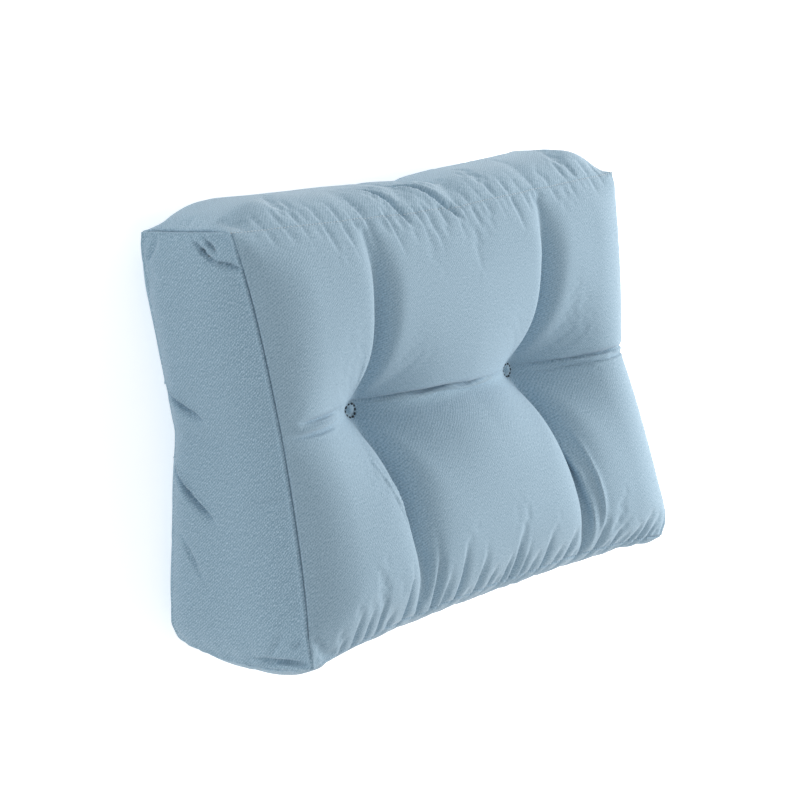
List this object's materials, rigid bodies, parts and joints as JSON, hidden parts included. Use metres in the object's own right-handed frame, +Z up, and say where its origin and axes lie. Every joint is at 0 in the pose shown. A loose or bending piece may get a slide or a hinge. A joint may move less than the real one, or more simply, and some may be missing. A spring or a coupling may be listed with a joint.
{
  "type": "pallet cushion",
  "caption": "Wedge-shaped back cushion in plain woven cloth, with a thick base panel, a thinner top panel and a tufted face of six soft lobes.",
  "frame": {"origin": "middle of the underside of the cushion's box, where it lies on its back", "axes": "+X along the cushion's length, +Y from the thick base panel to the thin top panel, +Z up, out of the tufted face"},
  "size_m": [0.6118, 0.4518, 0.2178],
  "materials": {
    "blue_cloth": "pale dusty blue cotton-type twill, matt"
  },
  "bodies": {
    "root": {"cushion": "blue_cloth"}
  },
  "joints": []
}
